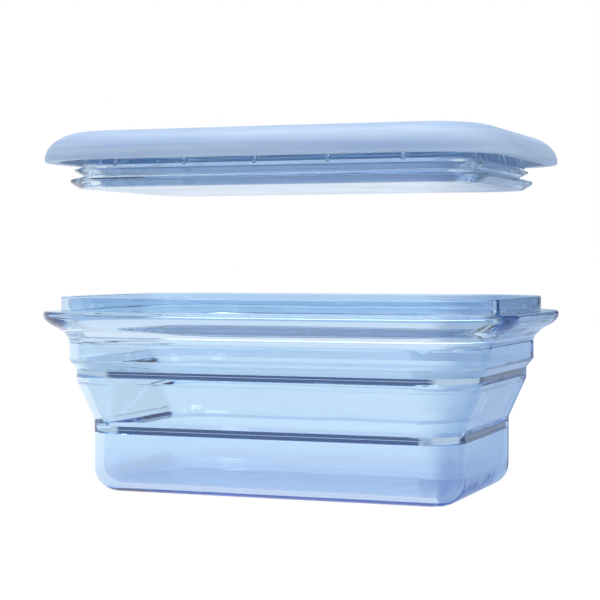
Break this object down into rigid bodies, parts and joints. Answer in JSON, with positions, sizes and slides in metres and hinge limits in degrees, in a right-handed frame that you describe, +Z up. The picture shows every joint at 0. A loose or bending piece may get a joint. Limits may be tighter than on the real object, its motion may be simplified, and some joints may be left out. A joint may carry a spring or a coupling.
{
  "type": "soap loaf mould",
  "caption": "Collapsible clear soap loaf mould: rectangular tray with a folding wall, gripping flange, and a lift-off frosted lid with a double-lipped gasket plug.",
  "frame": {"origin": "centre of the flat underside of the base tray, on the surface it stands on", "axes": "+Z up; X along the mould's long side; Y across it"},
  "size_m": [0.2526, 0.1726, 0.1862],
  "materials": {
    "clear_silicone": "clear, glossy, light blue",
    "clear_silicone_band": "clear, glossy, deeper blue where the wall is thick",
    "clear_silicone_fold": "clear, glossy, light blue",
    "clear_plastic": "clear, glossy, light blue",
    "clear_plastic_plug": "clear, glossy, light blue",
    "clear_silicone_gasket": "clear, glossy, light blue",
    "frosted_plastic": "frosted, milky light blue"
  },
  "bodies": {
    "base": {"base_tray": "clear_silicone", "lower_ring": "clear_silicone_band", "fold_wall": "clear_silicone_fold"},
    "rim": {"upper_ring": "clear_silicone_band", "collar": "clear_silicone", "rim_frame": "clear_plastic", "mouth_ring": "clear_plastic"},
    "lid": {"lid_cover": "frosted_plastic", "lid_plug": "clear_plastic_plug", "lid_gasket": "clear_silicone_gasket"}
  },
  "joints": [
    {"name": "collapse", "type": "slide", "parent": "base", "child": "rim", "axis": [0, 0, -1], "range_m": [0, 0.037], "deforming": ["fold_wall"]},
    {"name": "lid_lift", "type": "slide", "parent": "rim", "child": "lid", "axis": [0, 0, 1], "range_m": [-0.0767, 0.05]}
  ]
}
